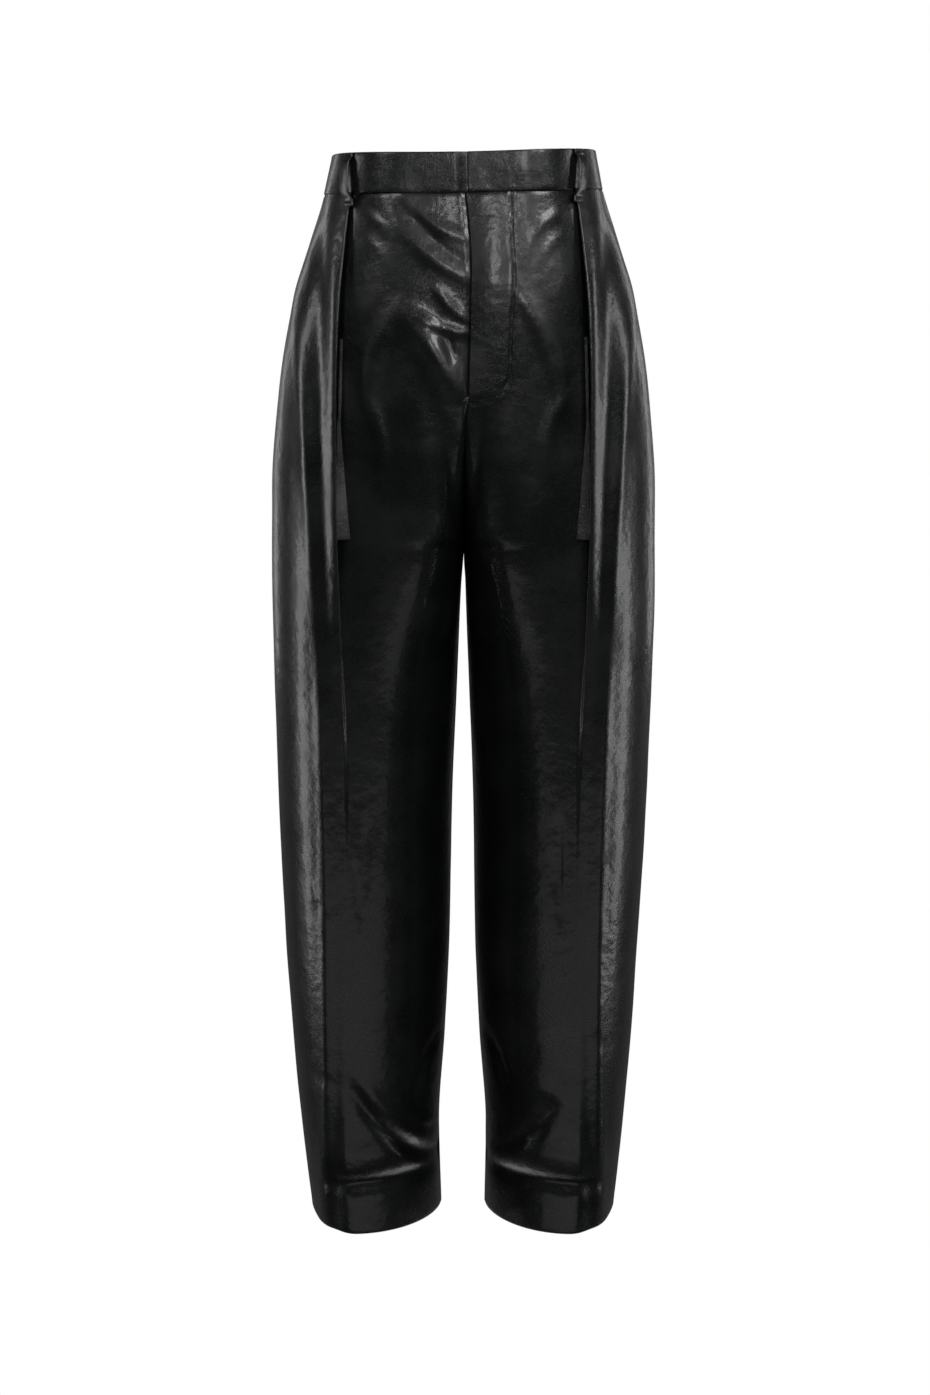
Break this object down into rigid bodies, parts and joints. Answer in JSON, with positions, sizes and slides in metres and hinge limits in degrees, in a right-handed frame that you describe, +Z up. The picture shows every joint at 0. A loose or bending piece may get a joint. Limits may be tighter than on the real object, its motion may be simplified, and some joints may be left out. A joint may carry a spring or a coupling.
{
  "type": "pleated leather trousers",
  "caption": "High-waisted glossy black leather trousers with wide barrel legs, deep front pleats and turned-up hems, filled out.",
  "frame": {"origin": "centre of the waist, about halfway up the waistband", "axes": "+Z up along the body, -Y to the front, +X to the wearer's left"},
  "size_m": [0.3788, 0.2594, 1.0616],
  "materials": {
    "leather": "glossy, fine grained",
    "leather_trim": "glossy, fine grained"
  },
  "bodies": {
    "root": {"front_right": "leather", "front_left": "leather", "back_right": "leather", "back_left": "leather", "waistband_right": "leather_trim", "waistband_left": "leather_trim", "fly_shield": "leather_trim", "pocket_welt_right": "leather_trim", "pocket_welt_left": "leather_trim", "loop_front_right": "leather_trim", "loop_front_left": "leather_trim", "loop_back_right": "leather_trim", "loop_back_left": "leather_trim", "loop_back_centre": "leather_trim"}
  },
  "joints": []
}
